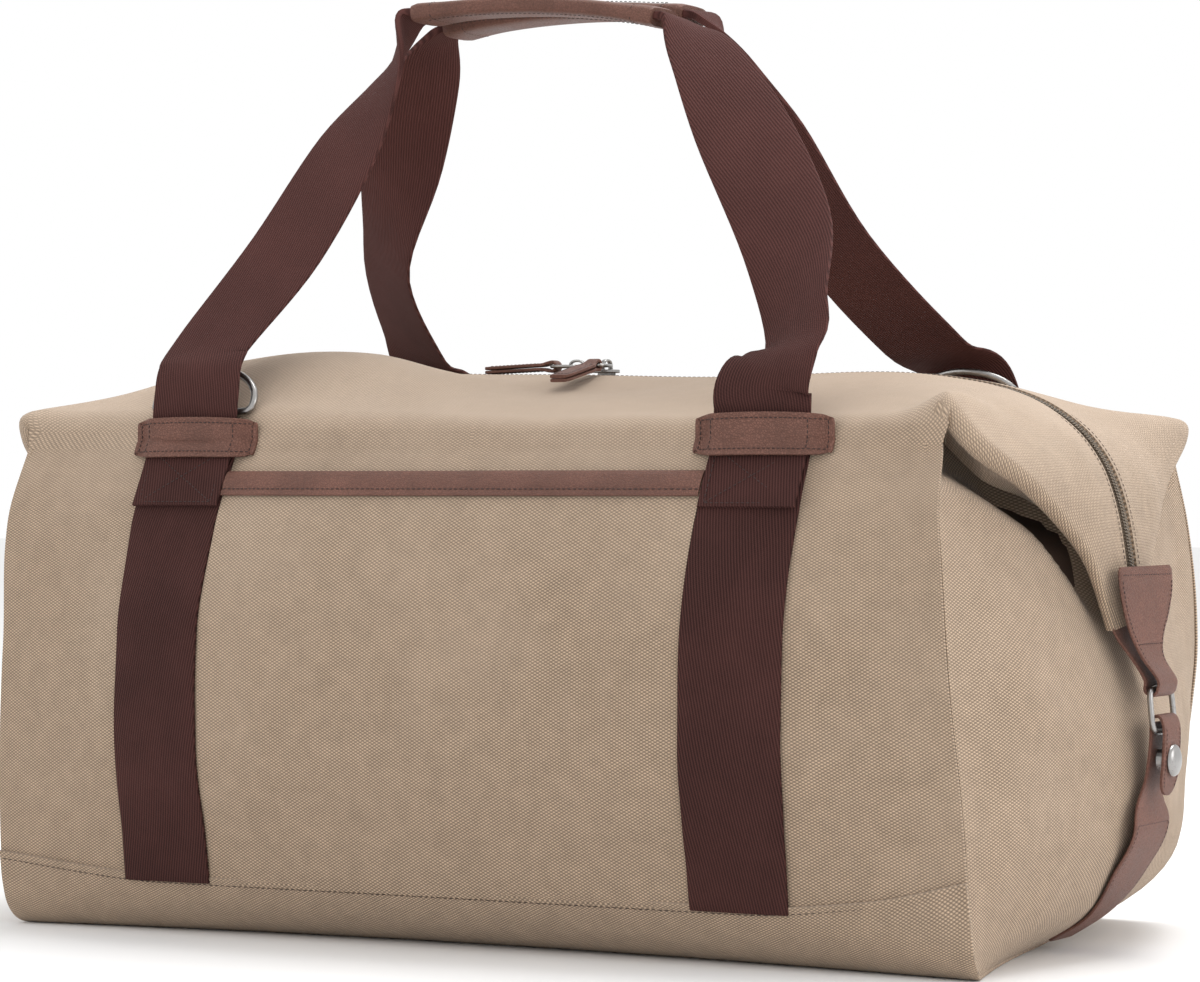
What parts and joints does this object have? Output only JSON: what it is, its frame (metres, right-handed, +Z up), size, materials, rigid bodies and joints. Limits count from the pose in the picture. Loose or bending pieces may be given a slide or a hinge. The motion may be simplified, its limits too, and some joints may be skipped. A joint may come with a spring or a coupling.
{
  "type": "duffel bag",
  "caption": "Soft canvas weekend duffel with zipped top, folded and snapped ends, webbing handles with leather grips, and a front slip pocket.",
  "frame": {"origin": "on the floor under the middle of the bag", "axes": "+X along the bag's length, -Y towards the pocket side, +Z up"},
  "size_m": [0.6266, 0.331, 0.4716],
  "materials": {
    "canvas": "washed sand canvas",
    "webbing": "ribbed dark brown webbing",
    "leather": "pebbled brown leather with dark stitching",
    "lining": "plain brown lining cloth",
    "board": "stiffening board",
    "zip_tape": "woven zip tape",
    "hardware": "polished gunmetal"
  },
  "bodies": {
    "shell": {"front_panel": "canvas", "back_panel": "canvas", "end_panel_left": "canvas", "end_panel_right": "canvas", "base_panel": "canvas", "base_board": "board", "lining": "lining", "wing_left": "canvas", "wing_right": "canvas", "wing_zip_left": "zip_tape", "wing_zip_right": "zip_tape", "pocket_panel": "canvas", "pocket_binding": "leather", "strap_front_left": "webbing", "handle_end_front_left": "webbing", "patch_front_left": "leather", "strap_front_right": "webbing", "handle_end_front_right": "webbing", "patch_front_right": "leather", "strap_rear_left": "webbing", "handle_end_rear_left": "webbing", "patch_rear_left": "leather", "strap_rear_right": "webbing", "handle_end_rear_right": "webbing", "patch_rear_right": "leather", "end_tab_left": "leather", "end_strap_left": "leather", "snap_stud_left": "hardware", "end_tab_right": "leather", "end_strap_right": "leather", "snap_stud_right": "hardware", "ring_keeper_front": "webbing", "ring_keeper_rear": "webbing"},
    "front_top": {"front_lip": "canvas", "zip_tape_front": "zip_tape", "zip_teeth_front": "hardware"},
    "rear_top": {"rear_lip": "canvas", "zip_tape_rear": "zip_tape", "zip_teeth_rear": "hardware"},
    "front_handle_loop": {"front_handle": "webbing", "front_grip": "leather"},
    "rear_handle_loop": {"rear_handle": "webbing", "rear_grip": "leather"},
    "slider_left": {"slider_left": "hardware"},
    "pull_loop_left": {"pull_loop_left": "hardware"},
    "pull_left": {"pull_left": "leather"},
    "end_ring_left": {"end_ring_left": "hardware"},
    "snap_flap_left": {"snap_flap_left": "leather", "snap_cap_left": "hardware"},
    "slider_right": {"slider_right": "hardware"},
    "pull_loop_right": {"pull_loop_right": "hardware"},
    "pull_right": {"pull_right": "leather"},
    "end_ring_right": {"end_ring_right": "hardware"},
    "snap_flap_right": {"snap_flap_right": "leather", "snap_cap_right": "hardware"},
    "shoulder_ring_front": {"shoulder_ring_front": "hardware"},
    "shoulder_ring_rear": {"shoulder_ring_rear": "hardware"}
  },
  "joints": [
    {"name": "front_handle_swing", "type": "hinge", "parent": "shell", "child": "front_handle_loop", "pos_m": [0, -0.1268, 0.2572], "axis": [1, 0, 0], "range_deg": [0, 163]},
    {"name": "rear_handle_swing", "type": "hinge", "parent": "shell", "child": "rear_handle_loop", "pos_m": [0, 0.1268, 0.2572], "axis": [-1, 0, 0], "range_deg": [0, 163]},
    {"name": "zip_right", "type": "slide", "parent": "shell", "child": "slider_right", "axis": [1, 0, 0], "range_m": [0, 0.183]},
    {"name": "zip_left", "type": "slide", "parent": "shell", "child": "slider_left", "axis": [-1, 0, 0], "range_m": [0, 0.183]},
    {"name": "front_top_open", "type": "hinge", "parent": "shell", "child": "front_top", "pos_m": [0, -0.1138, 0.253], "axis": [1, 0, 0], "range_deg": [0, 35], "deforming": ["front_lip", "zip_tape_front", "zip_teeth_front"]},
    {"name": "rear_top_open", "type": "hinge", "parent": "shell", "child": "rear_top", "pos_m": [0, 0.1138, 0.253], "axis": [-1, 0, 0], "range_deg": [0, 35], "deforming": ["rear_lip", "zip_tape_rear", "zip_teeth_rear"]},
    {"name": "pull_loop_left_lift", "type": "hinge", "parent": "slider_left", "child": "pull_loop_left", "pos_m": [-0.0085, 0, 0.2812], "axis": [0, 1, 0], "range_deg": [0, 95]},
    {"name": "pull_left_lift", "type": "hinge", "parent": "pull_loop_left", "child": "pull_left", "pos_m": [-0.0218, 0, 0.2812], "axis": [0, 1, 0], "range_deg": [0, 60]},
    {"name": "pull_loop_right_lift", "type": "hinge", "parent": "slider_right", "child": "pull_loop_right", "pos_m": [0.0085, 0, 0.2812], "axis": [-1, 0, 0], "range_deg": [0, 95]},
    {"name": "pull_right_lift", "type": "hinge", "parent": "pull_loop_right", "child": "pull_right", "pos_m": [0.0085, -0.0133, 0.2812], "axis": [-1, 0, 0], "range_deg": [0, 60]},
    {"name": "end_ring_right_swing", "type": "hinge", "parent": "shell", "child": "end_ring_right", "pos_m": [0.304, 0, 0.126], "axis": [0, 1, 0], "range_deg": [-3, 0]},
    {"name": "end_ring_left_swing", "type": "hinge", "parent": "shell", "child": "end_ring_left", "pos_m": [-0.304, 0, 0.126], "axis": [0, -1, 0], "range_deg": [-3, 0]},
    {"name": "snap_flap_right_open", "type": "hinge", "parent": "shell", "child": "snap_flap_right", "pos_m": [0.3042, 0, 0.1132], "axis": [0, -1, 0], "range_deg": [0, 120]},
    {"name": "snap_flap_left_open", "type": "hinge", "parent": "shell", "child": "snap_flap_left", "pos_m": [-0.3042, 0, 0.1132], "axis": [0, 1, 0], "range_deg": [0, 120]},
    {"name": "shoulder_ring_front_lift", "type": "hinge", "parent": "shell", "child": "shoulder_ring_front", "pos_m": [-0.157, -0.1178, 0.2574], "axis": [1, 0, 0], "range_deg": [0, 6]},
    {"name": "shoulder_ring_rear_lift", "type": "hinge", "parent": "shell", "child": "shoulder_ring_rear", "pos_m": [0.157, 0.1178, 0.2574], "axis": [-1, 0, 0], "range_deg": [0, 6]}
  ],
  "couplings": [
    {"joint": "zip_left", "follows": "zip_right", "ratio": 1},
    {"joint": "front_top_open", "follows": "zip_right", "rad_per_m": 3.3377},
    {"joint": "rear_top_open", "follows": "zip_right", "rad_per_m": 3.3377}
  ]
}
